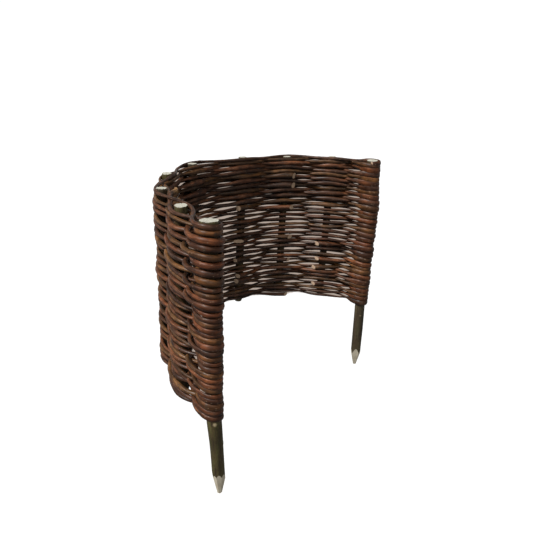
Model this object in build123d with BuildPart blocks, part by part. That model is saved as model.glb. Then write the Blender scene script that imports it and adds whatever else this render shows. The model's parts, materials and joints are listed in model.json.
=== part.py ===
from build123d import *
import os
from math import acos, atan2, cos, hypot, pi, sin

# Half-round border panel woven from willow rods round nine upright stakes.
# X runs along the straight opening from the left end stake to the right one,
# the bulge of the half circle points to +Y, and +Z is up.
# The origin is on the floor level of the spike tips, under the middle of the panel.

# ---- driving dimensions, mm ----
PANEL_WIDTH = 450.0        # outside of the weave over both end stakes
WEAVE_HEIGHT = 258.0       # height of the woven wall
SPIKE_LENGTH = 142.0       # free length of the two end stakes under the weave
STAKES = 9                 # on a half circle, in equal steps
STAKE_D = 19.0             # the two end stakes, which carry the spikes
INNER_D = 15.0             # the seven stakes between them
STAKE_TOP_D = 18.6         # the end stakes thin a little over the spike
SHOULDER = 2.0             # the thinning starts this far under the weave
ROD_D = 3.8                # woven rods
PLAY = 0.15                # gap between a rod and the stake it goes round
ROWS = 64                  # passes of the weave, one above the other
POINT_HALF = 2.4           # the blunt tip, from the axis to each knife cut
FEET = [4.0, 3.0, 5.0, 3.0, 9.0, 3.0, 4.0]  # the inner stakes stand this far under the weave
STAKE_CHAMFER = 0.8
END_GAP = 2.4              # between the cut ends of two rods that follow on

# Bends of a rod in plan
OUTER_FILLET = 34.0        # over the outside of a stake
INNER_FILLET = 110.0       # behind the inside of a stake
WRAP_CORNERS = 4           # corners of the route round an end stake

# Knife cuts of a point: direction round the stake in degrees, and length in mm
KNIFE_CUTS = [(20, 40.0), (95, 34.0), (165, 38.0), (232, 33.0), (300, 37.0)]

# The weave is one long line to and fro, cut into rods.  Each rod starts behind
# a stake, on the inside: (row from the bottom, stake from the left), from 0.
ROD_STARTS = [
    (0, 6), (2, 4), (4, 2), (6, 4), (7, 7), (9, 3), (11, 5), (13, 5), (15, 7),
    (18, 6), (19, 7), (21, 5), (23, 3), (25, 7), (28, 6), (29, 5), (31, 3),
    (33, 1), (35, 3), (37, 1), (39, 1), (40, 4), (42, 6), (43, 5), (45, 3),
    (47, 3), (48, 2), (50, 6), (52, 4), (54, 6), (56, 4), (58, 2), (60, 4),
    (62, 2),
]

STAKE_R = STAKE_D / 2
INNER_R = INNER_D / 2
ROD_R = ROD_D / 2
ROW_PITCH = WEAVE_HEIGHT / ROWS
REACH = STAKE_R + PLAY + ROD_R                 # end stake axis to rod centre line
INNER_REACH = INNER_R + PLAY + ROD_R           # the same at the stakes between
RING_R = PANEL_WIDTH / 2 - REACH - ROD_R       # the stake axes lie on this circle
LAST = STAKES - 1
STEP = pi / LAST

# The middle of the panel's depth is on the origin.
RING_Y = -RING_R / 2


def polar(radius, angle):
    return radius * cos(angle), RING_Y + radius * sin(angle)


def ring_angle(stake):
    return pi - stake * STEP


def row_height(row):
    return SPIKE_LENGTH + ROW_PITCH * (row + 0.5)


def passes_outside(row, stake):
    return (row + stake) % 2 == 1


# A corner of the route lies beyond the stake, so that the fillet there just
# clears the stake.  Its place depends on the turn, and so on its neighbours.
def touch(point, centre, side):
    """Angle round a stake where the line from a point touches the rod's wrap."""
    dx, dy = point[0] - centre[0], point[1] - centre[1]
    return atan2(dy, dx) + side * acos(REACH / hypot(dx, dy))


def settle(parity):
    """Route corners of one row at the stakes, and its two touch angles."""
    away = [INNER_REACH] * STAKES
    for _ in range(60):
        points = [
            polar(RING_R + (away[i] if passes_outside(parity, i) else -away[i]), ring_angle(i))
            for i in range(STAKES)
        ]
        left, right = polar(RING_R, pi), polar(RING_R, 0)
        a = touch(points[1], left, 1 if passes_outside(parity, 0) else -1)
        b = touch(points[LAST - 1], right, -1 if passes_outside(parity, LAST) else 1)
        points[0] = left[0] + REACH * cos(a), left[1] + REACH * sin(a)
        points[LAST] = right[0] + REACH * cos(b), right[1] + REACH * sin(b)
        for i in range(1, LAST):
            into = atan2(points[i][1] - points[i - 1][1], points[i][0] - points[i - 1][0])
            out = atan2(points[i + 1][1] - points[i][1], points[i + 1][0] - points[i][0])
            bend = OUTER_FILLET if passes_outside(parity, i) else INNER_FILLET
            away[i] = INNER_REACH + bend * (1 / cos((out - into) / 2) - 1)
    return points, {0: a, LAST: b}


settled = [settle(0), settle(1)]


def corner_at(row, stake):
    """Route corner and fillet where a row passes a stake between the ends."""
    x, y = settled[row % 2][0][stake]
    return (x, y, row_height(row)), OUTER_FILLET if passes_outside(row, stake) else INNER_FILLET


def wrap_at(row, stake, rise=ROW_PITCH):
    """Route corners round an end stake, from one row up to the next."""
    cx, cy = polar(RING_R, ring_angle(stake))
    start, end = settled[row % 2][1][stake], settled[(row + 1) % 2][1][stake]
    total = (end - start) % (2 * pi)
    if stake == LAST and passes_outside(row, stake) or stake == 0 and not passes_outside(row, stake):
        total -= 2 * pi
    turn = total / WRAP_CORNERS
    corners = []
    for n in range(WRAP_CORNERS):
        angle = start + turn * (n + 0.5)
        far = REACH / cos(turn / 2)
        corners.append((cx + far * cos(angle), cy + far * sin(angle)))
    z = row_height(row)
    steps = WRAP_CORNERS - 1
    return [((x, y, z + rise * n / steps), REACH * 0.97) for n, (x, y) in enumerate(corners)]


def route(first, last):
    """Points and fillets of one rod from its first stake to its last one."""
    (row, stake), (end_row, end_stake) = first, last
    forward = 1 if row % 2 else -1              # to the right on odd rows
    nudge = -forward * END_GAP / 2 / RING_R
    x, y = polar(RING_R - INNER_REACH - 0.1, ring_angle(stake) + nudge)
    points, fillets = [(x, y, row_height(row))], []
    while True:
        stake += forward
        if stake in (0, LAST):
            rise = ROW_PITCH if row < ROWS - 1 else 0.0
            for point, fillet in wrap_at(row, stake, rise):
                points.append(point)
                fillets.append(fillet)
            if row == ROWS - 1:                 # the top rod tucks in here
                x, y = polar(RING_R - REACH - 0.6, ring_angle(stake) + 0.055)
                points.append((x, y, row_height(row)))
                return points, fillets
            row += 1
            forward = -forward
        elif (row, stake) == (end_row, end_stake):
            nudge = forward * END_GAP / 2 / RING_R
            x, y = polar(RING_R - INNER_REACH - 0.1, ring_angle(stake) + nudge)
            points.append((x, y, row_height(row)))
            return points, fillets
        else:
            point, fillet = corner_at(row, stake)
            points.append(point)
            fillets.append(fillet)


os.makedirs("parts", exist_ok=True)

# ---- stakes ----
stake_names = (
    ["end_stake_left"] + [f"stake_{i + 1}" for i in range(1, LAST)] + ["end_stake_right"]
)
top = SPIKE_LENGTH + WEAVE_HEIGHT

for i, label in enumerate(stake_names):
    x, y = polar(RING_R, ring_angle(i))
    is_end = i in (0, LAST)
    with BuildPart() as stake:
        if is_end:
            slim = STAKE_TOP_D / 2
            with BuildSketch(Plane(origin=(x, y, 0), x_dir=(1, 0, 0), z_dir=(0, -1, 0))):
                Polygon(
                    (0, 0),
                    (STAKE_R, 0),
                    (STAKE_R, SPIKE_LENGTH - SHOULDER),
                    (slim, top - STAKE_CHAMFER),
                    (slim - STAKE_CHAMFER, top),
                    (0, top),
                    align=None,
                )
            revolve(axis=Axis((x, y, 0), (0, 0, 1)))
        else:
            foot = SPIKE_LENGTH - FEET[i - 1]
            with BuildSketch(Plane((x, y, foot))):
                Circle(INNER_R)
            extrude(amount=top - foot)
            chamfer(stake.edges().filter_by(GeomType.CIRCLE), length=STAKE_CHAMFER)
        if is_end:
            for turn, length in KNIFE_CUTS:
                side = (turn + 40 * i / LAST) * pi / 180
                tilt = atan2(STAKE_R - POINT_HALF, length)
                split(
                    bisect_by=Plane(
                        origin=(x + POINT_HALF * cos(side), y + POINT_HALF * sin(side), 0),
                        z_dir=(cos(tilt) * cos(side), cos(tilt) * sin(side), -sin(tilt)),
                    ),
                    keep=Keep.BOTTOM,
                )
    stake.part.label = label
    export_step(stake.part, f"parts/{label}.step")

# ---- woven rods, from the bottom up ----
rod_ends = ROD_STARTS[1:] + [(ROWS - 1, LAST)]

for n, (first, last) in enumerate(zip(ROD_STARTS, rod_ends), start=1):
    points, fillets = route(first, last)
    start = Vector(*points[0])
    with BuildPart() as rod:
        with BuildLine() as line:
            FilletPolyline(*points, radius=fillets)
        path = line.wire()
        with BuildSketch(Plane(origin=start, z_dir=Vector(*points[1]) - start)):
            Circle(ROD_R)
        sweep(path=path)
    rod.part.label = f"willow_rod_{n:02d}"
    export_step(rod.part, f"parts/willow_rod_{n:02d}.step")
    print(
        rod.part.label,
        "length mm", round(path.length),
        "volume over section times length",
        round(rod.part.volume / (pi * ROD_R**2 * path.length), 4),
    )

print("stake circle radius", round(RING_R, 2), "row pitch", round(ROW_PITCH, 3))
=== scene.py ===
import bpy
import bmesh
import math
import numpy as np
from mathutils import Vector, Matrix
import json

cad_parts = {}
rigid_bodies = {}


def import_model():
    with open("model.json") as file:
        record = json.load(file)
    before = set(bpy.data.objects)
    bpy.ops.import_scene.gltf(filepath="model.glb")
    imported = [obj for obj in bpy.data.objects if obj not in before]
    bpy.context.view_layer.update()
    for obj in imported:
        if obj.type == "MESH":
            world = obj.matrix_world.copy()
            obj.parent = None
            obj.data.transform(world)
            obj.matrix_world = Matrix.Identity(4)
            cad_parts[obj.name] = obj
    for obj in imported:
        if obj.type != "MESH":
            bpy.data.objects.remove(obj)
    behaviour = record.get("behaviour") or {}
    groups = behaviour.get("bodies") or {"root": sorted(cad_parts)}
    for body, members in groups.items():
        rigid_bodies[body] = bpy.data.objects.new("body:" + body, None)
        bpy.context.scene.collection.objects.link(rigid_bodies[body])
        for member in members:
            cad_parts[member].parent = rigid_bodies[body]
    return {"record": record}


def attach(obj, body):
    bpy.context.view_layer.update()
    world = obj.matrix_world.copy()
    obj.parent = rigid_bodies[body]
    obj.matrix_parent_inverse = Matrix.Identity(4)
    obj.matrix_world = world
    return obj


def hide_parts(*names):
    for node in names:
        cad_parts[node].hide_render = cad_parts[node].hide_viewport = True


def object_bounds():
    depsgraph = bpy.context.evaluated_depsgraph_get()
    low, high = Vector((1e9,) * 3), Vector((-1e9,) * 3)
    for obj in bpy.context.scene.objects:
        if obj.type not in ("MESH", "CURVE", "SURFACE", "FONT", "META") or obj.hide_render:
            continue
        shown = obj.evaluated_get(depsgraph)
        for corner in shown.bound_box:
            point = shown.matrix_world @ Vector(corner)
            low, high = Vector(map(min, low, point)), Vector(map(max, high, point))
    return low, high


# ------------------------------------------------------------------ frame
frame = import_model()
cad_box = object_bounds()
scene = bpy.context.scene

# ------------------------------------------------------------------ sizes, mm, as in the CAD
PANEL_WIDTH = 450.0
WEAVE_HEIGHT = 258.0
SPIKE_LENGTH = 142.0
STAKES = 9
STAKE_R = 9.5
ROWS = 64
LAST = STAKES - 1
STEP = math.pi / LAST
RING_R = 211.55
RING_Y = -RING_R / 2
ROD_STARTS = [
    (0, 6), (2, 4), (4, 2), (6, 4), (7, 7), (9, 3), (11, 5), (13, 5), (15, 7),
    (18, 6), (19, 7), (21, 5), (23, 3), (25, 7), (28, 6), (29, 5), (31, 3),
    (33, 1), (35, 3), (37, 1), (39, 1), (40, 4), (42, 6), (43, 5), (45, 3),
    (47, 3), (48, 2), (50, 6), (52, 4), (54, 6), (56, 4), (58, 2), (60, 4),
    (62, 2),
]
STAKE_NAMES = ["end_stake_left"] + [f"stake_{i + 1}" for i in range(1, LAST)] + ["end_stake_right"]
KNIFE_CUTS = [(20, 40.0), (95, 34.0), (165, 38.0), (232, 33.0), (300, 37.0)]
POINT_HALF = 2.4
# the left point was cut with more and flatter strokes
LEFT_CUTS = [(184, 32.0), (226, 39.0), (272, 46.0), (335, 38.0), (25, 39.0), (80, 37.0), (132, 35.0)]
LEFT_HALF = 3.0

# small natural shifts of each stake from its place, at the foot of the weave and at its top
FOOT_SHIFT = [(0.4, 7.4), (1.4, -5.0), (-0.5, -0.6), (-1.0, 1.6), (-2.5, 3.1), (1.3, -2.8), (0.2, -1.8), (-0.9, -0.2), (-1.0, 0.6)]
TOP_SHIFT = [(-2.4, 7.0), (5.4, -8.4), (2.2, -2.1), (-2.6, 4.2), (-6.6, 8.2), (5.0, -7.0), (3.8, -7.4), (2.2, -5.6), (-2.0, 4.4)]
# how far a stake's sawn top stands over the nominal weave top, and its foot under the weave
TOP_Z = [3.0, 2.2, 2.4, 2.9, 2.0, 2.7, 0.2, 2.6, 3.9]
FOOT_Z = [0, 4.5, 3.0, 5.5, 3.0, 9.5, 2.5, 4.5, 0]
# stake radii: the two end stakes are the thick ones
RADII = [9.5, 8.2, 8.0, 7.6, 7.4, 7.2, 6.6, 6.5, 9.2]
# the left end stake stands with its thick end up, the others with their thin end up
SWELL = [2.0, -0.2, -0.2, -0.3, -0.2, -0.3, -0.3, -0.2, -0.2]


def smooth(t):
    return t * t * (3 - 2 * t)


class Wander:
    """Smooth one-dimensional noise in -1..1, the same each run."""

    def __init__(self, seed, count=400):
        self.v = np.random.default_rng(seed).uniform(-1, 1, count)

    def __call__(self, x):
        x = np.asarray(x, float)
        i = np.floor(x).astype(int)
        t = x - i
        n = len(self.v)
        p0, p1, p2, p3 = (self.v[(i + k) % n] for k in (-1, 0, 1, 2))
        return 0.5 * (2 * p1 + (p2 - p0) * t + (2 * p0 - 5 * p1 + 4 * p2 - p3) * t**2 + (3 * p1 - p0 - 3 * p2 + p3) * t**3)


def ring_angle(stake):
    return math.pi - stake * STEP


def polar(radius, angle):
    return np.array([radius * np.cos(angle), RING_Y + radius * np.sin(angle)])


# the left leg leans on below the weave
LEG_LEAN = {0: (7.0, -4.2)}
# the right end stake bows out at mid height: how far, and at which height and over how much of it
BOW = {8: (2.3, -3.5, 308.0, 60.0)}
BEND = [(Wander(900 + i, 40), Wander(950 + i, 40)) for i in range(STAKES)]


def stake_shift(i, z):
    """How far the axis of a stake is from its nominal place at a height."""
    w = np.clip((np.asarray(z, float) - SPIKE_LENGTH) / WEAVE_HEIGHT, -0.55, 1.1)
    up = np.where(w < 0, w * 0.3, w)
    fx, fy = FOOT_SHIFT[i]
    tx, ty = TOP_SHIFT[i]
    bx, by = BEND[i]
    lx, ly = LEG_LEAN.get(i, (0.0, 0.0))
    leg = np.clip(-w / 0.55, 0, 1)
    ox, oy, middle, spread = BOW.get(i, (0.0, 0.0, 0.0, 1.0))
    bow = np.exp(-(((np.asarray(z, float) - middle) / spread) ** 2))
    return np.array([
        ox * bow + fx + (tx - fx) * up + lx * leg + 0.7 * bx(np.asarray(z) / 95.0 + 7),
        oy * bow + fy + (ty - fy) * up + ly * leg + 0.7 * by(np.asarray(z) / 95.0 + 7),
    ])


def stake_radius(i, z):
    """Mean radius of a stake at a height; the butt end is the lower one."""
    w = (np.asarray(z, float) - SPIKE_LENGTH) / WEAVE_HEIGHT
    return RADII[i] + SWELL[i] * w


# ------------------------------------------------------------------ rods: sizes
rod_ends = ROD_STARTS[1:] + [(ROWS - 1, LAST)]


def travel(row, stake):
    return row * LAST + (LAST - stake if row % 2 == 0 else stake)


BAY_LEN = 86.0
WRAP_LEN = 42.0
rods = []
for n, (a, b) in enumerate(zip(ROD_STARTS, rod_ends)):
    rng = np.random.default_rng(5000 + n)
    u0, u1 = travel(*a), travel(*b)
    length = (u1 - u0) * BAY_LEN + WRAP_LEN * (math.floor((u1 - 0.01) / LAST) - math.floor((u0 + 0.01) / LAST))
    butt = rng.uniform(3.1, 4.1)
    tip = rng.uniform(1.7, 2.3)
    if a[0] > 44:  # the upper rows are made of thicker rods
        butt, tip = butt * 0.5 + 1.9, tip + 0.35
    if n >= len(ROD_STARTS) - 2:  # the rim is made of two thin ones
        butt, tip = 2.75, 2.1
    rods.append(dict(n=n, u0=u0, u1=u1, first=a, last=b, length=length, butt=butt, tip=tip, thick=Wander(6000 + n)))


def rod_radius(rod, s):
    """Radius of a rod at a distance from its butt end, without knobs."""
    w = np.clip(np.asarray(s, float) / rod["length"], 0, 1)
    return rod["butt"] + (rod["tip"] - rod["butt"]) * w**0.85 + 0.12 * rod["thick"](np.asarray(s) / 160.0 + 3)


def rod_of(u):
    for rod in rods:
        if rod["u0"] <= u < rod["u1"]:
            return rod
    return rods[-1] if u >= rods[-1]["u0"] else rods[0]


def s_of(rod, u):
    return (u - rod["u0"]) * BAY_LEN + WRAP_LEN * (math.floor(u / LAST) - math.floor(rod["u0"] / LAST))


# ------------------------------------------------------------------ how the rows pile up
# In the middle of each bay the rods of all rows lie on each other, so the height
# of a row there is the sum of the thicknesses under it, pressed to the weave's height.
thick = np.zeros((ROWS, LAST))
for k in range(ROWS):
    for j in range(LAST):
        u = k * LAST + (LAST - 1 - j if k % 2 == 0 else j) + 0.5
        rod = rod_of(u)
        thick[k, j] = 2 * rod_radius(rod, max(0.0, s_of(rod, u)))
thick[0, 6:] *= 0.15  # the lowest row starts at stake_7
pile_noise = np.random.default_rng(77).uniform(-0.28, 0.28, (ROWS, LAST))
pile = thick * (1 + pile_noise * 0.5)
low_edge = np.array([-9.0, -5.0, -4.5, -5.0, -6.5, -7.5, -8.0, -8.5])
high_edge = np.array([2.6, 2.2, 2.4, 2.2, 2.0, 1.6, 1.8, 2.4])
mid_z = np.zeros((ROWS, LAST))
for j in range(LAST):
    low = SPIKE_LENGTH + low_edge[j]
    high = SPIKE_LENGTH + WEAVE_HEIGHT + high_edge[j]
    edges = np.concatenate([[0], np.cumsum(pile[:, j])])
    edges = low + (high - low) * edges / edges[-1]
    mid_z[:, j] = (edges[:-1] + edges[1:]) / 2
# stiff rods even out the steps between bays, and stay near their row
nominal = SPIKE_LENGTH + WEAVE_HEIGHT / ROWS * (np.arange(ROWS) + 0.5)
for _ in range(2):
    padded = np.concatenate([mid_z[:, :1], mid_z, mid_z[:, -1:]], axis=1)
    mid_z = 0.25 * padded[:, :-2] + 0.5 * padded[:, 1:-1] + 0.25 * padded[:, 2:]
mid_z = nominal[:, None] + np.clip(mid_z - nominal[:, None], -11.0, 9.0)
row_noise = np.random.default_rng(78).normal(0, 0.85, (ROWS, STAKES))
row_noise[:, 0] *= 0.5
row_noise[:, LAST] *= 0.5
row_noise[-3:] *= 0.3
row_noise[:3] *= 0.3
stake_z = np.zeros((ROWS, STAKES))
for i in range(STAKES):
    near = [mid_z[:, j] for j in (i - 1, i) if 0 <= j < LAST]
    stake_z[:, i] = np.mean(near, axis=0) + row_noise[:, i]
# the wraps slide a little down the end stakes and spread
for end, drop, lift in ((0, -4.0, 0.0), (LAST, -1.0, 0.0)):
    w = (nominal - SPIKE_LENGTH) / WEAVE_HEIGHT
    stake_z[:, end] += drop * (1 - w) ** 2 + lift * w**2


def passes_outside(row, stake):
    return (row + stake) % 2 == 1


# the rods dip where they pass outside and rise inside: most in the upper third of the back
WAVE_AT = [142, 160, 180, 230, 290, 320, 345, 385, 397]
WAVE = {
    2: [0.0, 0.0, 0.0, 0.0, 0.0, 0.2, 0.5, 0.5, 0.2],
    3: [0.0, 0.2, 0.4, 0.5, 0.7, 0.9, 1.1, 1.0, 0.3],
    4: [0.4, 0.6, 0.9, 0.8, 0.5, 0.5, 0.7, 1.4, 0.4],
    5: [0.8, 1.0, 1.5, 1.3, 0.8, 1.2, 1.9, 1.9, 0.5],
    6: [0.8, 1.0, 1.7, 1.6, 1.1, 1.5, 2.2, 2.1, 0.5],
    7: [0.8, 1.0, 1.7, 1.6, 1.1, 1.5, 2.2, 2.1, 0.5],
}
for i, heights in WAVE.items():
    for k in range(ROWS):
        stake_z[k, i] += np.interp(nominal[k], WAVE_AT, heights) * (-1 if passes_outside(k, i) else 1)


# ------------------------------------------------------------------ route of a rod
PRESS = [0, 0, 1.9, 0.6, 0, 0, 0, 0, 0]  # how deep the outside rods sit in the bark of a stake


def bay_points(row, a, b, radius_at, count=30, skew=0.0):
    """Centre line over one bay, from stake a to stake b, without its last point."""
    t = np.arange(count) / count
    tt = t + skew * np.sin(math.pi * t) * 0.5
    sa = 1 if passes_outside(row, a) else -1
    sb = 1 if passes_outside(row, b) else -1
    j = min(a, b)
    za, zm, zb = stake_z[row, a], mid_z[row, j], stake_z[row, b]
    z = np.where(t < 0.5, za + (zm - za) * smooth(np.clip(t * 2, 0, 1)), zm + (zb - zm) * smooth(np.clip(t * 2 - 1, 0, 1)))
    ra = stake_radius(a, za) + radius_at(0) - 0.1 - (PRESS[a] if sa > 0 else 0)
    rb = stake_radius(b, zb) + radius_at(1) - 0.1 - (PRESS[b] if sb > 0 else 0)
    w = (1 - np.cos(math.pi * tt)) / 2
    off = sa * ra * (1 - w) + sb * rb * w
    angle = ring_angle(a) + (ring_angle(b) - ring_angle(a)) * t
    shift = stake_shift(a, z) * (1 - w) + stake_shift(b, z) * w
    x = (RING_R + off) * np.cos(angle) + shift[0]
    y = RING_Y + (RING_R + off) * np.sin(angle) + shift[1]
    return np.stack([x, y, z], 1)


def wrap_radius(end, radius, z):
    """The rods lie thick round the right end stake, and thin round the foot of the left one."""
    if end == LAST:
        return np.maximum(radius, 2.7) + 0 * z
    return radius * (1 - 0.22 * np.clip(1 - (z - SPIKE_LENGTH) / 70, 0, 1))


def wrap_points(row, end, radius, count=26, rise=True, share=1.0):
    """Centre line round an end stake, from this row to the next one up."""
    s = 1 if passes_outside(row, end) else -1
    t = np.arange(count) / count * share
    z0 = stake_z[row, end]
    z1 = stake_z[row + 1, end] if rise and row + 1 < ROWS else z0
    z = z0 + (z1 - z0) * smooth(t)
    away = np.array([0.0, -1.0])
    out = np.array([math.cos(ring_angle(end)), math.sin(ring_angle(end))])
    reach = stake_radius(end, z) + wrap_radius(end, radius, z) - 0.1
    phi = math.pi * t
    centre = polar(RING_R, ring_angle(end))
    shift = stake_shift(end, z)
    x = centre[0] + shift[0] + reach * (s * out[0] * np.cos(phi) + away[0] * np.sin(phi))
    y = centre[1] + shift[1] + reach * (s * out[1] * np.cos(phi) + away[1] * np.sin(phi))
    return np.stack([x, y, z], 1)


def rod_line(rod):
    """Dense centre line of a rod and its bay marks (0 at a stake, 1 in mid bay)."""
    (row, stake), (end_row, end_stake) = rod["first"], rod["last"]
    forward = 1 if row % 2 else -1
    pieces, press = [], []
    rng = np.random.default_rng(7000 + rod["n"])
    s = 0.0
    # the butt end stands past its stake on the inside
    back = rng.uniform(9.0, 15.0)
    pts = bay_points(row, stake, stake - forward, lambda w: rod["butt"])
    d = np.linalg.norm(np.diff(pts, axis=0), axis=1).cumsum()
    keep = int(np.searchsorted(d, back)) + 1
    lead = pts[1:keep + 1][::-1]
    pieces.append(lead)
    press.append(np.zeros(len(lead)))
    s += back
    first_count = len(lead)
    while True:
        nxt = stake + forward
        r0, r1 = float(rod_radius(rod, s)), float(rod_radius(rod, s + BAY_LEN))
        pts = bay_points(row, stake, nxt, lambda w: r0 + (r1 - r0) * w, skew=rng.uniform(-0.36, 0.36))
        pieces.append(pts)
        press.append(np.sin(math.pi * np.arange(len(pts)) / len(pts)) ** 2)
        s += BAY_LEN
        stake = nxt
        if stake in (0, LAST):
            last_one = row == ROWS - 1
            pts = wrap_points(row, stake, float(rod_radius(rod, s)), rise=not last_one, share=0.93 if last_one else 1.0)
            pieces.append(pts)
            press.append(np.zeros(len(pts)))
            s += WRAP_LEN
            if last_one:
                break
            row += 1
            forward = -forward
        elif (row, stake) == (end_row, end_stake):
            past = rng.uniform(7.0, 12.0)
            pts = bay_points(row, stake, stake + forward, lambda w: rod["tip"])
            d = np.linalg.norm(np.diff(pts, axis=0), axis=1).cumsum()
            keep = int(np.searchsorted(d, past)) + 1
            pieces.append(pts[:keep + 1])
            press.append(np.zeros(keep + 1))
            break
    line = np.concatenate(pieces)
    mark = np.concatenate(press)
    return line, mark


def resample(line, mark, step):
    seg = np.linalg.norm(np.diff(line, axis=0), axis=1)
    ok = np.concatenate([[True], seg > 1e-6])
    line, mark = line[ok], mark[ok]
    s = np.concatenate([[0], np.linalg.norm(np.diff(line, axis=0), axis=1).cumsum()])
    count = max(8, int(round(s[-1] / step)))
    at = np.linspace(0, s[-1], count + 1)
    out = np.stack([np.interp(at, s, line[:, c]) for c in range(3)], 1)
    m = np.interp(at, s, mark)
    for _ in range(3):  # round off the joins of bays and wraps
        out[1:-1] = 0.25 * out[:-2] + 0.5 * out[1:-1] + 0.25 * out[2:]
        m[1:-1] = 0.25 * m[:-2] + 0.5 * m[1:-1] + 0.25 * m[2:]
    return out, m, at


# ------------------------------------------------------------------ materials
def new_material(name):
    m = bpy.data.materials.new(name)
    m.use_nodes = True
    nt = m.node_tree
    nt.nodes.clear()
    return m, nt


def add(nt, kind, **values):
    node = nt.nodes.new(kind)
    for key, value in values.items():
        setattr(node, key, value)
    return node


def ramp(nt, stops, interpolation="LINEAR"):
    node = nt.nodes.new("ShaderNodeValToRGB")
    node.color_ramp.interpolation = interpolation
    e = node.color_ramp.elements
    while len(e) > 1:
        e.remove(e[-1])
    e[0].position, e[0].color = stops[0][0], (*stops[0][1], 1)
    for p, c in stops[1:]:
        x = e.new(p)
        x.color = (*c, 1)
    return node


def grey(v):
    return (v, v, v)


def mix_rgb(nt, kind, fac, a, b):
    node = add(nt, "ShaderNodeMix", data_type="RGBA", blend_type=kind)
    node.clamp_result = False
    for socket, value in ((node.inputs[0], fac), (node.inputs[6], a), (node.inputs[7], b)):
        if isinstance(value, bpy.types.NodeSocket):
            nt.links.new(value, socket)
        elif isinstance(value, tuple):
            socket.default_value = (*value, 1)
        else:
            socket.default_value = value
    return node.outputs[2]


def scaled(nt, vector, scale):
    node = add(nt, "ShaderNodeMapping")
    nt.links.new(vector, node.inputs["Vector"])
    node.inputs["Scale"].default_value = scale
    return node.outputs["Vector"]


def noise(nt, vector, scale, detail=3.0, rough=0.55):
    node = add(nt, "ShaderNodeTexNoise")
    nt.links.new(vector, node.inputs["Vector"])
    node.inputs["Scale"].default_value = scale
    node.inputs["Detail"].default_value = detail
    node.inputs["Roughness"].default_value = rough
    return node.outputs["Fac"]


def math_node(nt, op, a, b=None):
    node = add(nt, "ShaderNodeMath", operation=op)
    for socket, value in zip(node.inputs, (a, b)):
        if value is None:
            continue
        if isinstance(value, bpy.types.NodeSocket):
            nt.links.new(value, socket)
        else:
            socket.default_value = value
    return node.outputs[0]


def rod_material():
    """Unpeeled willow bark; tint (which carries painted shade), grain place and buds come from the mesh."""
    m, nt = new_material("willow_bark")
    tint = add(nt, "ShaderNodeAttribute", attribute_name="tint").outputs["Color"]
    grain = add(nt, "ShaderNodeAttribute", attribute_name="grain").outputs["Vector"]
    knob = add(nt, "ShaderNodeAttribute", attribute_name="knob").outputs["Fac"]
    streak = noise(nt, scaled(nt, grain, (60, 900, 900)), 1.0, 3.0, 0.6)
    patch = noise(nt, scaled(nt, grain, (22, 90, 90)), 1.0, 2.0, 0.5)
    fine = noise(nt, scaled(nt, grain, (420, 1900, 1900)), 1.0, 2.0, 0.6)
    s1 = ramp(nt, [(0.28, grey(0.42)), (0.5, grey(0.95)), (0.72, grey(1.65))])
    nt.links.new(streak, s1.inputs[0])
    c = mix_rgb(nt, "MULTIPLY", 1.0, tint, s1.outputs[0])
    p1 = ramp(nt, [(0.32, (0.55, 0.50, 0.48)), (0.5, grey(1.0)), (0.7, (1.45, 1.36, 1.28))])
    nt.links.new(patch, p1.inputs[0])
    c = mix_rgb(nt, "MULTIPLY", 1.0, c, p1.outputs[0])
    mottle = ramp(nt, [(0.32, grey(0.52)), (0.5, grey(1.0)), (0.68, grey(1.55))])
    nt.links.new(noise(nt, scaled(nt, grain, (95, 170, 170)), 1.0, 2.0, 0.6), mottle.inputs[0])
    c = mix_rgb(nt, "MULTIPLY", 1.0, c, mottle.outputs[0])
    # dull grey bloom of dry bark on parts of the rod
    bloom = ramp(nt, [(0.54, grey(0.0)), (0.74, grey(0.35))])
    nt.links.new(noise(nt, scaled(nt, grain, (30, 160, 160)), 1.0, 3.0, 0.6), bloom.inputs[0])
    c = mix_rgb(nt, "MIX", bloom.outputs[0], c, (0.058, 0.034, 0.023))
    # small pale pores
    dots = add(nt, "ShaderNodeTexVoronoi", feature="F1")
    nt.links.new(scaled(nt, grain, (170, 420, 420)), dots.inputs["Vector"])
    dots.inputs["Scale"].default_value = 1.0
    d1 = ramp(nt, [(0.10, grey(0.55)), (0.17, grey(0.0))])
    nt.links.new(dots.outputs["Distance"], d1.inputs[0])
    c = mix_rgb(nt, "MIX", d1.outputs[0], c, (0.20, 0.14, 0.09))
    # dark scar at each bud
    k1 = ramp(nt, [(0.35, grey(0.0)), (0.85, grey(0.75))])
    nt.links.new(knob, k1.inputs[0])
    c = mix_rgb(nt, "MIX", k1.outputs[0], c, (0.030, 0.020, 0.013))
    b = add(nt, "ShaderNodeBsdfPrincipled")
    nt.links.new(c, b.inputs["Base Color"])
    r1 = ramp(nt, [(0.3, grey(0.36)), (0.7, grey(0.55))])
    nt.links.new(streak, r1.inputs[0])
    nt.links.new(r1.outputs[0], b.inputs["Roughness"])
    b.inputs["Specular IOR Level"].default_value = 0.20
    bump = add(nt, "ShaderNodeBump")
    bump.inputs["Strength"].default_value = 0.55
    bump.inputs["Distance"].default_value = 0.0004
    h = math_node(nt, "ADD", math_node(nt, "MULTIPLY", streak, 0.7), math_node(nt, "MULTIPLY", fine, 0.4))
    nt.links.new(h, bump.inputs["Height"])
    nt.links.new(bump.outputs[0], b.inputs["Normal"])
    out = add(nt, "ShaderNodeOutputMaterial")
    nt.links.new(b.outputs[0], out.inputs[0])
    return m


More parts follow.
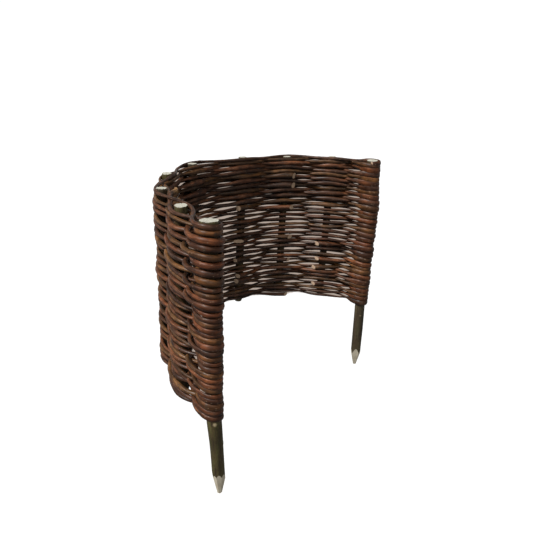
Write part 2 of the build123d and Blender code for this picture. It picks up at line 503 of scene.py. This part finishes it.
def cut_material(name, light, dark, ring=1500.0):
    """Fresh cut wood: pale, with faint rings round the pith."""
    m, nt = new_material(name)
    grain = add(nt, "ShaderNodeAttribute", attribute_name="grain").outputs["Vector"]
    rad = add(nt, "ShaderNodeAttribute", attribute_name="rad").outputs["Fac"]
    wob = noise(nt, scaled(nt, grain, (350, 350, 350)), 1.0, 3.0, 0.6)
    ringed = math_node(nt, "SINE", math_node(nt, "ADD", math_node(nt, "MULTIPLY", rad, ring * 2.6), math_node(nt, "MULTIPLY", wob, 5.0)))
    r1 = ramp(nt, [(0.0, grey(0.0)), (1.0, grey(1.0))])
    nt.links.new(math_node(nt, "ADD", math_node(nt, "MULTIPLY", ringed, 0.28), 0.5), r1.inputs[0])
    c = mix_rgb(nt, "MIX", r1.outputs[0], dark, light)
    s1 = ramp(nt, [(0.3, grey(0.80)), (0.6, grey(1.06))])
    nt.links.new(noise(nt, scaled(nt, grain, (700, 700, 60)), 1.0, 3.0, 0.6), s1.inputs[0])
    c = mix_rgb(nt, "MULTIPLY", 1.0, c, s1.outputs[0])
    b = add(nt, "ShaderNodeBsdfPrincipled")
    nt.links.new(c, b.inputs["Base Color"])
    b.inputs["Roughness"].default_value = 0.75
    b.inputs["Specular IOR Level"].default_value = 0.3
    bump = add(nt, "ShaderNodeBump")
    bump.inputs["Strength"].default_value = 0.4
    bump.inputs["Distance"].default_value = 0.0004
    nt.links.new(noise(nt, scaled(nt, grain, (900, 900, 120)), 1.0, 3.0, 0.6), bump.inputs["Height"])
    nt.links.new(bump.outputs[0], b.inputs["Normal"])
    out = add(nt, "ShaderNodeOutputMaterial")
    nt.links.new(b.outputs[0], out.inputs[0])
    return m


def stake_material(name, base, light, dark, green):
    """Round wood with its bark on: long streaks, cracks and knots."""
    m, nt = new_material(name)
    grain = add(nt, "ShaderNodeAttribute", attribute_name="grain").outputs["Vector"]
    knob = add(nt, "ShaderNodeAttribute", attribute_name="knob").outputs["Fac"]
    weave_shade = add(nt, "ShaderNodeAttribute", attribute_name="weave_shade").outputs["Fac"]
    long = noise(nt, scaled(nt, grain, (260, 260, 22)), 1.0, 4.0, 0.6)
    wide = noise(nt, scaled(nt, grain, (75, 75, 14)), 1.0, 2.0, 0.5)
    fine = noise(nt, scaled(nt, grain, (1100, 1100, 260)), 1.0, 3.0, 0.65)
    c1 = ramp(nt, [(0.30, dark), (0.46, base), (0.60, green), (0.74, light)])
    nt.links.new(long, c1.inputs[0])
    w1 = ramp(nt, [(0.30, grey(0.60)), (0.52, grey(1.02)), (0.74, grey(1.5))])
    nt.links.new(wide, w1.inputs[0])
    c = mix_rgb(nt, "MULTIPLY", 1.0, c1.outputs[0], w1.outputs[0])
    f1 = ramp(nt, [(0.30, grey(0.62)), (0.7, grey(1.38))])
    nt.links.new(fine, f1.inputs[0])
    c = mix_rgb(nt, "MULTIPLY", 1.0, c, f1.outputs[0])
    k1 = ramp(nt, [(0.30, grey(0.0)), (0.9, grey(0.8))])
    nt.links.new(knob, k1.inputs[0])
    c = mix_rgb(nt, "MIX", k1.outputs[0], c, (0.40, 0.32, 0.20))
    # painted shade: inside the weave, where the rods shade the stake, its bark colour is made darker and browner
    c = mix_rgb(nt, "MULTIPLY", weave_shade, c, (0.56, 0.44, 0.36))
    b = add(nt, "ShaderNodeBsdfPrincipled")
    nt.links.new(c, b.inputs["Base Color"])
    b.inputs["Roughness"].default_value = 0.58
    b.inputs["Specular IOR Level"].default_value = 0.22
    bump = add(nt, "ShaderNodeBump")
    bump.inputs["Strength"].default_value = 0.6
    bump.inputs["Distance"].default_value = 0.0008
    h = math_node(nt, "ADD", math_node(nt, "MULTIPLY", long, 0.8), math_node(nt, "MULTIPLY", fine, 0.35))
    nt.links.new(h, bump.inputs["Height"])
    nt.links.new(bump.outputs[0], b.inputs["Normal"])
    out = add(nt, "ShaderNodeOutputMaterial")
    nt.links.new(b.outputs[0], out.inputs[0])
    return m


BARK = rod_material()
ROD_CUT = cut_material("rod_cut", (0.38, 0.28, 0.20), (0.25, 0.17, 0.11), 2600)
TOP_CUT = cut_material("sawn_top", (0.355, 0.355, 0.31), (0.265, 0.26, 0.215))
TIP_CUT = cut_material("knife_cut", (0.40, 0.365, 0.285), (0.30, 0.265, 0.195), 500)
STAKE_BARKS = {
    "olive": stake_material("stake_bark_olive", (0.042, 0.031, 0.012), (0.088, 0.070, 0.033), (0.017, 0.011, 0.005), (0.042, 0.038, 0.012)),
    "brown": stake_material("stake_bark_brown", (0.038, 0.027, 0.014), (0.076, 0.058, 0.033), (0.016, 0.011, 0.006), (0.040, 0.034, 0.016)),
}

# bark colours of the rods in linear light, by the slot that the frame gives a rod
slot_of = {s["node"]: s["material_slot"] for s in frame["record"]["subparts"]}
PALETTE = {
    "rod_dark_brown": [(0.044, 0.0170, 0.0076), (0.036, 0.0145, 0.0068), (0.052, 0.0205, 0.0092), (0.040, 0.0172, 0.0086)],
    "rod_red_brown": [(0.066, 0.0245, 0.0100), (0.078, 0.0290, 0.0114), (0.056, 0.0215, 0.0094), (0.062, 0.0215, 0.0090)],
    "rod_olive": [(0.064, 0.0300, 0.0108), (0.052, 0.0245, 0.0092), (0.074, 0.0345, 0.0120), (0.046, 0.0215, 0.0086)],
}


# ------------------------------------------------------------------ meshes
def make_object(name, verts, faces, material_index, materials, smooth_faces, attributes):
    me = bpy.data.meshes.new(name)
    me.from_pydata((np.asarray(verts) * 0.001).tolist(), [], faces)
    for m in materials:
        me.materials.append(m)
    me.polygons.foreach_set("material_index", material_index)
    me.polygons.foreach_set("use_smooth", smooth_faces)
    for key, (kind, data) in attributes.items():
        at = me.attributes.new(key, kind, "POINT")
        data = np.asarray(data, np.float32)
        if kind == "FLOAT":
            at.data.foreach_set("value", data.ravel())
        elif kind == "FLOAT_VECTOR":
            at.data.foreach_set("vector", data.ravel())
        else:
            at.data.foreach_set("color", data.ravel())
    me.update()
    me.validate()
    ob = bpy.data.objects.new(name, me)
    scene.collection.objects.link(ob)
    return ob


POKE = {31: 9.0, 33: 7.0}


def build_rod(rod):
    n = rod["n"]
    rng = np.random.default_rng(8000 + n)
    line, mark = rod_line(rod)
    line, mark, s = resample(line, mark, 2.3)
    total = s[-1]
    # crooked growth
    wz, wr = Wander(8100 + n), Wander(8200 + n)
    d = np.gradient(line, axis=0)
    t = d / np.linalg.norm(d, axis=1)[:, None]
    up = np.array([0, 0, 1.0])[None] - t[:, 2:3] * t
    up /= np.linalg.norm(up, axis=1)[:, None]
    side = np.cross(t, up)
    line = line + up * (0.62 * wz(s / 30.0))[:, None] + side * (0.3 * wr(s / 24.0))[:, None]
    # inward direction, for the slanted cuts and the overlap of the ends
    centre = np.array([0, RING_Y])
    inward = centre[None] - line[:, :2]
    inward = np.concatenate([inward / np.linalg.norm(inward, axis=1)[:, None], np.zeros((len(line), 1))], 1)
    r_tip = 1.75
    if n > 0:
        over = smooth(np.clip(1 - s / 42.0, 0, 1))
        line = line + inward * (over * 2 * r_tip)[:, None] + up * (over * rng.uniform(-0.6, 1.2))[:, None]
    if n in POKE:  # a butt that stands off into the bed
        line = line + inward * (POKE[n] * smooth(np.clip(1 - s / 30.0, 0, 1)))[:, None]
    base = rod_radius(rod, s * rod["length"] / total)
    near = {}
    for end in (0, LAST):
        ex, ey = polar(RING_R, ring_angle(end)) + stake_shift(end, line[:, 2].mean())
        gap = np.hypot(line[:, 0] - ex, line[:, 1] - ey)
        near[end] = smooth(np.clip((26 - gap) / 10, 0, 1))
    low = np.clip(1 - (line[:, 2] - SPIKE_LENGTH) / 70, 0, 1)
    rim = smooth(np.clip((line[:, 2] - 389) / 7, 0, 1))
    base = base * (1 - 0.22 * low * near[0])
    base = base + near[LAST] * np.clip(2.7 - base, 0, 2)
    # where the weave is pressed tight the rods fill the height between their neighbours
    place = (math.pi - np.arctan2(line[:, 1] - RING_Y, line[:, 0])) / STEP
    place = np.where(place > 12, 0.0, place)
    high = smooth(np.clip((line[:, 2] - 300) / 60, 0, 1))
    left_back = smooth(np.clip(1 - np.abs(place - 3.1) / 1.3, 0, 1))
    outer_left = smooth(np.clip(1.3 - place, 0, 1)) * smooth(np.clip((330 - line[:, 2]) / 60, 0, 1))
    mark = mark * (1 - 0.35 * outer_left)
    inner = smooth(np.clip((place - 3.6) / 0.8, 0, 1))
    last_bay = smooth(np.clip((place - 6.9) / 0.4, 0, 1)) * (1 - near[LAST])
    mark = mark * (1 - 0.4 * high * inner)
    fill = (0.22 * outer_left + 0.40 * high * left_back + 0.46 * high * (1 - left_back) * (place > 1.5)
            + 0.05 * inner * (1 - high) + 0.14 * low + 0.12 * last_bay) * (1 - mark)
    knobs = np.zeros(len(s))
    knob_dir = np.zeros(len(s))
    at = rng.uniform(8, 25)
    flip = 0.0
    while at < total:
        g = np.exp(-(((s - at) / 2.4) ** 2))
        knobs = np.maximum(knobs, g * rng.uniform(0.6, 1.0))
        beside = np.abs(s - at) < 8
        knob_dir[beside] = flip + rng.normal(0, 0.4)
        flip += 2.4
        at += rng.uniform(24, 58)
    grow = 1 + 0.035 * Wander(8300 + n)(s / 9.0) + 0.03 * Wander(8400 + n)(s / 24.0)
    flat = 0.27 * mark
    M = 10
    phi = np.arange(M) * 2 * math.pi / M
    c, sn = np.cos(phi)[None], np.sin(phi)[None]
    warp = 1 + 0.03 * Wander(8500 + n)(s / 13.0)[:, None] * np.cos(phi * 2 + 0.4)[None] + 0.03 * Wander(8600 + n)(s / 17.0)[:, None] * np.sin(phi * 2)[None]
    bud = 0.16 * knobs[:, None] * np.clip(np.cos(phi[None] - knob_dir[:, None]), 0, 1) ** 2 + 0.05 * knobs[:, None]
    rr = (base * grow)[:, None] * (warp + bud)
    h = rr * ((1 + 0.2 * flat) * (1 - 0.06 * near[0]))[:, None] * c
    v = rr * ((1 - flat) * (1 + fill) * (1 + near[0] * (0.32 + 0.20 * low) + 0.58 * near[LAST] * (1 - 0.6 * rim)))[:, None] * sn
    ring = side[:, None, :] * h[..., None] + up[:, None, :] * v[..., None]
    # slanted knife cuts that face the inside
    verts = line[:, None, :] + ring
    row, stake = rod["first"]
    short = stake <= 5 if row % 2 else stake <= 4
    slant = rng.uniform(0.6, 0.9) if short else rng.uniform(1.15, 1.5)
    slant = {15: 2.8, 31: 1.6}.get(n, slant)
    for end, sign in ((0, -1.0), (len(s) - 1, 1.0)):
        dist = np.abs(s - s[end])
        w = np.clip(1 - dist / (3.0 + 1.5 * base[end] * slant), 0, 1)
        q = -(ring @ inward[end]) / max(base[end], 0.1)
        verts += (w[:, None] * q * base[end] * slant * sign)[..., None] * t[end][None, None, :]
    N = len(s)
    faces = []
    idx = np.arange(N * M).reshape(N, M)
    a = idx[:-1]
    b = idx[1:]
    quads = np.stack([a, np.roll(a, -1, 1), np.roll(b, -1, 1), b], -1).reshape(-1, 4)
    faces = quads.tolist()
    flat_verts = verts.reshape(-1, 3)
    rad = np.zeros(N * M)
    # caps: a ring of its own, so that the cut has a clean edge, and a centre point
    grain = np.stack([
        np.repeat(s, M) * 0.001 + n * 1.7,
        (rr * c).ravel() * 0.001 + n * 0.31,
        (rr * sn).ravel() * 0.001,
    ], 1)
    tints = PALETTE[slot_of[f"willow_rod_{n + 1:02d}"]]
    tint0 = np.array(tints[int(rng.integers(len(tints)))]) * rng.uniform(0.85, 1.25)
    tint1 = np.array(tints[int(rng.integers(len(tints)))]) * rng.uniform(0.85, 1.25)
    w = smooth(np.clip(s / total, 0, 1))[:, None]
    shade = 1 + 0.18 * Wander(8700 + n)(s / 55.0)[:, None]
    tint = (tint0[None] * (1 - w) + tint1[None] * w) * shade
    # painted shade: each rod's colour is darkened on its underside, and a little on its top, where it lies on its
    # neighbours; less of it near the end stakes
    underside_shade = 0.66 * np.clip(0.15 - np.sin(phi), 0, 1) ** 0.8 + 0.12 * np.clip(np.sin(phi), 0, 1) ** 3
    soft = 1 - 0.3 * near[0] - 0.5 * near[LAST]
    if n in POKE:
        gold = smooth(np.clip(1.2 - s / 26.0, 0, 1))[:, None]
        tint = tint * (1 - gold) + np.array([0.19, 0.105, 0.040]) * gold
    warm = near[0][:, None] * np.array([0.03, 0.16, 0.30]) + near[LAST][:, None] * np.array([0.06, 0.16, 0.28])
    # painted shade: the rods' colour darkens from about the fourth stake round to the right end, less so beside the
    # right end stake
    back_shade = 1 - 0.28 * smooth(np.clip((place - 3.3) / 0.6, 0, 1)) * (1 - 0.7 * near[LAST])
    tint = tint * (1 - warm) * back_shade[:, None]
    tint = (tint[:, None, :] * (1 - underside_shade[None, :] * soft[:, None])[..., None]).reshape(-1, 3)
    knob_v = np.clip(knobs[:, None] * (0.25 + 0.75 * np.clip(np.cos(phi[None] - knob_dir[:, None]), 0, 1)), 0, 1).ravel()
    all_verts = [flat_verts]
    extra_g, extra_r, extra_t, extra_k = [], [], [], []
    mats = [0] * len(faces)
    count = N * M
    for end, order in ((0, 1), (N - 1, -1)):
        loop = verts[end]
        mid = loop.mean(0)
        inner = mid + (loop - mid) * 0.97
        all_verts += [inner, mid[None]]
        base_i = count
        mid_i = count + M
        count += M + 1
        ring_i = idx[end]
        for q in range(M):
            p = (q + 1) % M
            f1 = [int(ring_i[q]), base_i + q, base_i + p, int(ring_i[p])]
            f2 = [base_i + q, mid_i, base_i + p]
            if order == -1:
                f1.reverse()
                f2.reverse()
            faces += [f1, f2]
            mats += [1, 1]
        g = np.concatenate([inner, mid[None]]) * 0.001
        extra_g.append(g)
        extra_r.append(np.concatenate([np.full(M, base[end] * 0.001), [0.0]]))
        extra_t.append(np.tile(tint[0], (M + 1, 1)))
        extra_k.append(np.zeros(M + 1))
    verts_all = np.concatenate(all_verts)
    grain = np.concatenate([grain] + extra_g)
    rad = np.concatenate([rad] + extra_r)
    tint = np.concatenate([tint] + extra_t)
    tint = np.concatenate([tint, np.ones((len(tint), 1))], 1)
    knob_v = np.concatenate([knob_v] + extra_k)
    smooth_faces = [m == 0 for m in mats]
    name = f"rod_{n + 1:02d}_bark"
    ob = make_object(name, verts_all, faces, mats, [BARK, ROD_CUT], smooth_faces, {
        "grain": ("FLOAT_VECTOR", grain), "rad": ("FLOAT", rad), "tint": ("FLOAT_COLOR", tint), "knob": ("FLOAT", knob_v),
    })
    fix_normals(ob)
    return ob


def fix_normals(ob):
    bm = bmesh.new()
    bm.from_mesh(ob.data)
    bmesh.ops.recalc_face_normals(bm, faces=bm.faces)
    if bm.calc_volume(signed=True) < 0:
        bmesh.ops.reverse_faces(bm, faces=bm.faces)
    bm.to_mesh(ob.data)
    bm.free()


def build_stake(i):
    label = STAKE_NAMES[i]
    rng = np.random.default_rng(300 + i)
    is_end = i in (0, LAST)
    z_top = SPIKE_LENGTH + WEAVE_HEIGHT + TOP_Z[i]
    z_low = 0.0 if is_end else SPIKE_LENGTH - FOOT_Z[i]
    step = 2.6
    N = int((z_top - z_low) / step) + 1
    z = np.linspace(z_low, z_top, N)
    M = 32
    phi = np.arange(M) * 2 * math.pi / M
    cx, cy = polar(RING_R, ring_angle(i))
    shift = stake_shift(i, z)
    rr = np.repeat(stake_radius(i, z)[:, None], M, 1)
    if is_end:
        rr = np.where(z[:, None] < SPIKE_LENGTH, STAKE_R * (1 + 0.0 * rr), rr)
        w = smooth(np.clip((z - SPIKE_LENGTH + 6) / 12, 0, 1))[:, None]
        leg = STAKE_R * 0.985 if i else 9.0 + 1.3 * smooth(np.clip((z - 70) / 70, 0, 1))[:, None]
        rr = leg * (1 - w) + stake_radius(i, z)[:, None] * w + 0 * rr
    for m in (1, 2, 3, 5):
        amp = {1: 0.012, 2: 0.018, 3: 0.012, 5: 0.006}[m]
        wa, wb = Wander(4000 + 10 * i + m), Wander(4100 + 10 * i + m)
        rr = rr * (1 + amp * wa(z / 42.0)[:, None] * np.cos(m * phi)[None] + amp * wb(z / 42.0)[:, None] * np.sin(m * phi)[None])
    knob = np.zeros((N, M))
    spots = [(rng.uniform(z_low + 45, z_top - 10), rng.uniform(0, 2 * math.pi), rng.uniform(0.6, 1.0)) for _ in range(4)]
    if i == 0:
        spots += [(SPIKE_LENGTH - 14.0, math.radians(-136), 1.15), (SPIKE_LENGTH - 52.0, math.radians(-60), 0.45)]
    if i == LAST:
        spots += [(SPIKE_LENGTH - 30.0, math.radians(-140), 0.6)]
    for kz, kphi, size in spots:
        dphi = (phi - kphi + math.pi) % (2 * math.pi) - math.pi
        dist = np.sqrt(((z[:, None] - kz) / (3.6 * size)) ** 2 + (dphi[None] * STAKE_R / (2.6 * size)) ** 2)
        rr = rr + 0.75 * size * np.exp(-((dist - 1.0) ** 2) * 2.2) - 0.25 * size * np.exp(-(dist**2) * 3)
        knob = np.maximum(knob, np.clip(1.25 - dist, 0, 1))
    if not is_end:  # the feet are worn round
        rr = rr * (1 - 0.16 * np.clip(1 - (z - z_low) / 5.0, 0, 1) ** 2)[:, None]
    x = cx + shift[0][:, None] + rr * np.cos(phi)[None]
    y = cy + shift[1][:, None] + rr * np.sin(phi)[None]
    zz = np.repeat(z[:, None], M, 1)
    # a saw cut is never quite square, and its rim is a little frayed
    tilt = rng.uniform(-0.05, 0.05, 2)
    if i == 0:
        tilt = np.array([-0.075, -0.062])
    top_w = np.clip(1 - (z_top - z) / 12, 0, 1)[:, None]
    fray = Wander(4300 + i, M)(np.arange(M) * 1.0)
    zz = zz + 0.35 * fray[None] * np.clip(1 - (z_top - z) / 3, 0, 1)[:, None]
    zz = zz + top_w * (tilt[0] * rr * np.cos(phi)[None] + tilt[1] * rr * np.sin(phi)[None])
    verts = np.stack([x, y, zz], -1).reshape(-1, 3)
    idx = np.arange(N * M).reshape(N, M)
    a, b = idx[:-1], idx[1:]
    faces = np.stack([a, np.roll(a, -1, 1), np.roll(b, -1, 1), b], -1).reshape(-1, 4).tolist()
    mats = [0] * len(faces)
    ax = np.array([cx, cy])
    grain = np.stack([verts[:, 0] - cx + 40 * i, verts[:, 1] - cy + 13 * i, verts[:, 2]], 1) * 0.001
    rad = np.full(N * M, STAKE_R * 0.001)
    kn = knob.ravel()
    parts = [verts]
    gs, rs, ks = [grain], [rad], [kn]
    count = N * M
    for end in (N - 1, 0):
        loop = verts[idx[end]]
        mid = loop.mean(0)
        dome = 0.25 if end == N - 1 else 0.0
        rings = []
        prev = idx[end]
        for q, f in enumerate((0.965, 0.66, 0.33)):
            ring = mid + (loop - mid) * f
            if q == 0:
                ring[:, 2] += 0.5 if end == N - 1 else -0.5
            else:
                ring[:, 2] += (0.5 if end == N - 1 else -0.5) + rng.normal(0, 0.06, M)
            rings.append(ring)
            parts.append(ring)
            cur = np.arange(count, count + M)
            count += M
            for p in range(M):
                p2 = (p + 1) % M
                f1 = [int(prev[p]), int(prev[p2]), int(cur[p2]), int(cur[p])]
                if end == 0:
                    f1.reverse()
                faces.append(f1)
                mats.append(0 if q == 0 else 1)
            gs.append(np.stack([ring[:, 0] - cx + 40 * i, ring[:, 1] - cy + 13 * i, ring[:, 2]], 1) * 0.001)
            rs.append(np.full(M, STAKE_R * f * 0.001))
            ks.append(np.zeros(M))
            prev = cur
        tip = mid + np.array([0, 0, 0.5 if end == N - 1 else -0.5])
        parts.append(tip[None])
        gs.append(np.array([[tip[0] - cx + 40 * i, tip[1] - cy + 13 * i, tip[2]]]) * 0.001)
        rs.append(np.zeros(1))
        ks.append(np.zeros(1))
        for p in range(M):
            f2 = [int(prev[p]), int(prev[(p + 1) % M]), count]
            if end == 0:
                f2.reverse()
            faces.append(f2)
            mats.append(1)
        count += 1
    verts = np.concatenate(parts)
    top_at = SPIKE_LENGTH + WEAVE_HEIGHT - 4
    # painted shade: marks the part of each stake inside the weave, whose bark colour is darkened
    weave_shade = smooth(np.clip((verts[:, 2] - SPIKE_LENGTH + 2) / 5, 0, 1)) * smooth(np.clip((top_at - verts[:, 2]) / 8, 0, 1))
    bark = STAKE_BARKS["olive" if i in (0, 1, 3, 5, 6) else "brown"]
    ob = make_object(f"{label}_wood", verts, faces, mats, [bark, TOP_CUT, TIP_CUT], [m == 0 for m in mats], {
        "grain": ("FLOAT_VECTOR", np.concatenate(gs)), "rad": ("FLOAT", np.concatenate(rs)), "knob": ("FLOAT", np.concatenate(ks)),
        "weave_shade": ("FLOAT", weave_shade),
    })
    bm = bmesh.new()
    bm.from_mesh(ob.data)
    bmesh.ops.recalc_face_normals(bm, faces=bm.faces)
    if is_end:
        layer = bm.verts.layers.float_vector["grain"]
        half = POINT_HALF if i else LEFT_HALF
        for turn, length in KNIFE_CUTS if i else LEFT_CUTS:
            side = math.radians(turn + 40 * i / LAST)
            tilt = math.atan2(STAKE_R - half, length)
            s0 = stake_shift(i, 10.0)
            o = Vector(((cx + s0[0] + half * math.cos(side)) * 0.001, (cy + s0[1] + half * math.sin(side)) * 0.001, 0.0))
            nrm = Vector((math.cos(tilt) * math.cos(side), math.cos(tilt) * math.sin(side), -math.sin(tilt)))
            geom = bm.verts[:] + bm.edges[:] + bm.faces[:]
            res = bmesh.ops.bisect_plane(bm, geom=geom, plane_co=o, plane_no=nrm, clear_outer=True, clear_inner=False, dist=1e-7)
            edges = [e for e in res["geom_cut"] if isinstance(e, bmesh.types.BMEdge)]
            made = bmesh.ops.contextual_create(bm, geom=edges, mat_nr=2)
            for f in made["faces"]:
                f.material_index = 2
                f.smooth = False
    bm.normal_update()
    bmesh.ops.recalc_face_normals(bm, faces=bm.faces)
    bmesh.ops.triangulate(bm, faces=[f for f in bm.faces if len(f.verts) > 4])
    for v in bm.verts:
        pass
    bm.to_mesh(ob.data)
    bm.free()
    return ob


for i in range(STAKES):
    ob = build_stake(i)
    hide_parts(STAKE_NAMES[i])
    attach(ob, "root")

for rod in rods:
    ob = build_rod(rod)
    node = f"willow_rod_{rod['n'] + 1:02d}"
    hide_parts(node)
    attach(ob, "root")

# ------------------------------------------------------------------ floor, light, camera
# camera place and axes, used here for the shade on the floor too
az, el, roll = math.radians(-56.2), math.radians(23.16), math.radians(1.81)
back = Vector((math.sin(az) * math.cos(el), -math.cos(az) * math.cos(el), math.sin(el)))
right = (-back).cross(Vector((0, 0, 1))).normalized()
up = right.cross(-back)
eye = Vector((-0.6554, -0.3715 + RING_Y * 0.001, 0.4506 + SPIKE_LENGTH * 0.001))
side_axis = math.cos(roll) * right + math.sin(roll) * up
up_axis = -math.sin(roll) * right + math.cos(roll) * up
FOCAL = 544.6 / 540

# The ground right behind the panel is in its shade; this outline follows the panel
# in the picture, as fractions of the picture's width from its upper left corner.
SHADE = np.array([
    (0.2963, 0.3315), (0.3185, 0.3222), (0.3296, 0.3130), (0.3407, 0.3056), (0.3519, 0.3028), (0.3741, 0.3006), (0.3963, 0.2987), (0.4167, 0.2978),
    (0.4537, 0.2944), (0.4907, 0.2931), (0.5093, 0.2911), (0.5463, 0.2907), (0.5833, 0.2933), (0.6204, 0.2944), (0.6574, 0.2974), (0.6907, 0.3019),
    (0.6833, 0.4259), (0.6741, 0.5639), (0.6574, 0.5565), (0.6389, 0.5530), (0.6204, 0.5511), (0.6019, 0.5493), (0.5833, 0.5474), (0.5648, 0.5441),
    (0.5463, 0.5422), (0.5278, 0.5463), (0.4907, 0.5474), (0.4722, 0.5481), (0.4537, 0.5511), (0.4352, 0.5556), (0.4148, 0.5611), (0.4074, 0.5796),
    (0.4019, 0.7444), (0.3704, 0.7278), (0.3296, 0.6944), (0.3120, 0.6407), (0.3056, 0.5593), (0.2963, 0.4000),
])


def shade_at(x, y):
    """1 well inside the outline, 0 outside it."""
    d = np.stack([x - eye.x, y - eye.y, np.full_like(x, -eye.z)], -1)
    depth = d @ -np.array(back)
    ok = depth > 0.05
    depth = np.where(ok, depth, 1)
    u = 0.5 + FOCAL * (d @ np.array(side_axis)) / depth
    v = 0.5 - FOCAL * (d @ np.array(up_axis)) / depth
    inside = np.zeros(x.shape, bool)
    dist = np.full(x.shape, 9.0)
    for k in range(len(SHADE)):
        (x0, y0), (x1, y1) = SHADE[k - 1], SHADE[k]
        cross = (y0 > v) != (y1 > v)
        xx = x0 + (v - y0) / (y1 - y0 + 1e-12) * (x1 - x0)
        inside ^= cross & (u < xx)
        w = np.clip(((u - x0) * (x1 - x0) + (v - y0) * (y1 - y0)) / ((x1 - x0) ** 2 + (y1 - y0) ** 2), 0, 1)
        dist = np.minimum(dist, np.hypot(u - x0 - w * (x1 - x0), v - y0 - w * (y1 - y0)))
    return np.where(inside & ok, smooth(np.clip(dist / 0.0035, 0, 1)), 0.0)


gx = np.concatenate([[-14], np.linspace(-0.6, 2.4, 501), [14]])
gy = np.concatenate([[-14], np.linspace(-0.6, 2.2, 467), [14]])
fx, fy = np.meshgrid(gx, gy)
fv = np.stack([fx, fy, np.zeros_like(fx)], -1).reshape(-1, 3)
fi = np.arange(fv.shape[0]).reshape(fx.shape)
ff = np.stack([fi[:-1, :-1], fi[:-1, 1:], fi[1:, 1:], fi[1:, :-1]], -1).reshape(-1, 4)
me = bpy.data.meshes.new("floor")
me.from_pydata(fv.tolist(), [], ff.tolist())
at = me.attributes.new("shade", "FLOAT", "POINT")
at.data.foreach_set("value", shade_at(fv[:, 0], fv[:, 1]).astype(np.float32))
floor = bpy.data.objects.new("floor", me)
scene.collection.objects.link(floor)
m, nt = new_material("pale_floor")
b = add(nt, "ShaderNodeBsdfPrincipled")
shade = add(nt, "ShaderNodeAttribute", attribute_name="shade").outputs["Fac"]
# painted shadow: the shade attribute mixes the floor's colour towards grey-brown behind the panel
nt.links.new(mix_rgb(nt, "MIX", shade, (0.90, 0.90, 0.90), (0.33, 0.27, 0.23)), b.inputs["Base Color"])
b.inputs["Roughness"].default_value = 0.9
b.inputs["Specular IOR Level"].default_value = 0.1
out = add(nt, "ShaderNodeOutputMaterial")
nt.links.new(b.outputs[0], out.inputs[0])
me.materials.append(m)
# the pale floor would light the panel from below as strongly as the sky does from above
floor.visible_diffuse = False
floor.visible_glossy = False

# a plain white backdrop all round, which only the camera sees
bm = bmesh.new()
bmesh.ops.create_uvsphere(bm, u_segments=48, v_segments=24, radius=13.0)
bmesh.ops.reverse_faces(bm, faces=bm.faces)
for f in bm.faces:
    f.smooth = True
me = bpy.data.meshes.new("backdrop")
bm.to_mesh(me)
bm.free()
backdrop = bpy.data.objects.new("backdrop", me)
scene.collection.objects.link(backdrop)
m, nt = new_material("white_backdrop")
glow = add(nt, "ShaderNodeEmission")
glow.inputs["Color"].default_value = (1.0, 1.0, 1.0, 1.0)
glow.inputs["Strength"].default_value = 1.05
out = add(nt, "ShaderNodeOutputMaterial")
nt.links.new(glow.outputs[0], out.inputs[0])
me.materials.append(m)
for ray in ("visible_diffuse", "visible_glossy", "visible_transmission", "visible_volume_scatter", "visible_shadow"):
    setattr(backdrop, ray, False)

world = bpy.data.worlds.new("studio")
scene.world = world
world.use_nodes = True
nt = world.node_tree
bg = nt.nodes["Background"]
# a white band along the horizon, a dimmer sky over it and a dim ground under it
way = add(nt, "ShaderNodeTexCoord").outputs["Generated"]
parts = add(nt, "ShaderNodeSeparateXYZ")
nt.links.new(way, parts.inputs[0])
height = math_node(nt, "ADD", math_node(nt, "MULTIPLY", parts.outputs[2], 0.5), 0.5)
band = ramp(nt, [(0.0, grey(0.26)), (0.45, grey(0.26)), (0.49, grey(1.1)), (0.54, grey(1.1)), (0.57, grey(0.26)), (1.0, grey(0.36))])
nt.links.new(height, band.inputs[0])
nt.links.new(band.outputs[0], bg.inputs[0])
bg.inputs[1].default_value = 1.0

only_floor = bpy.data.collections.new("only_floor")
only_floor.objects.link(floor)
only_panel = bpy.data.collections.new("only_panel")
for ob in scene.objects:
    if ob.type == "MESH" and ob is not floor and ob is not backdrop:
        only_panel.objects.link(ob)


def sun(name, direction, strength, angle, colour, receivers, blockers):
    light = bpy.data.lights.new(name, "SUN")
    light.energy = strength
    light.angle = math.radians(angle)
    light.color = colour
    ob = bpy.data.objects.new(name, light)
    scene.collection.objects.link(ob)
    ob.rotation_euler = Vector(direction).to_track_quat("Z", "Y").to_euler()
    ob.light_linking.receiver_collection = receivers
    ob.light_linking.blocker_collection = blockers
    return ob


# the floor is lit on its own, so that it stays evenly white
sun("floor_light", (0, 0, 1), 3.0, 5, (1, 1, 1), only_floor, only_floor)
sun("key", (-0.90, 0.44, 1.12), 6.25, 12, (1.0, 0.975, 0.955), only_panel, only_panel)
sun("front", (-0.75, -0.85, 0.8), 0.90, 30, (1.0, 0.94, 0.87), only_panel, only_panel)

cam_data = bpy.data.cameras.new("camera")
cam = bpy.data.objects.new("camera", cam_data)
scene.collection.objects.link(cam)
rot = Matrix((side_axis, up_axis, back)).transposed()
cam.matrix_world = Matrix.Translation(eye) @ rot.to_4x4()
cam_data.sensor_width = 36.0
cam_data.lens = FOCAL * 36.0
cam_data.clip_start, cam_data.clip_end = 0.01, 100
cam_data.dof.use_dof = False
scene.camera = cam

scene.view_settings.view_transform = "Standard"
scene.view_settings.look = "None"
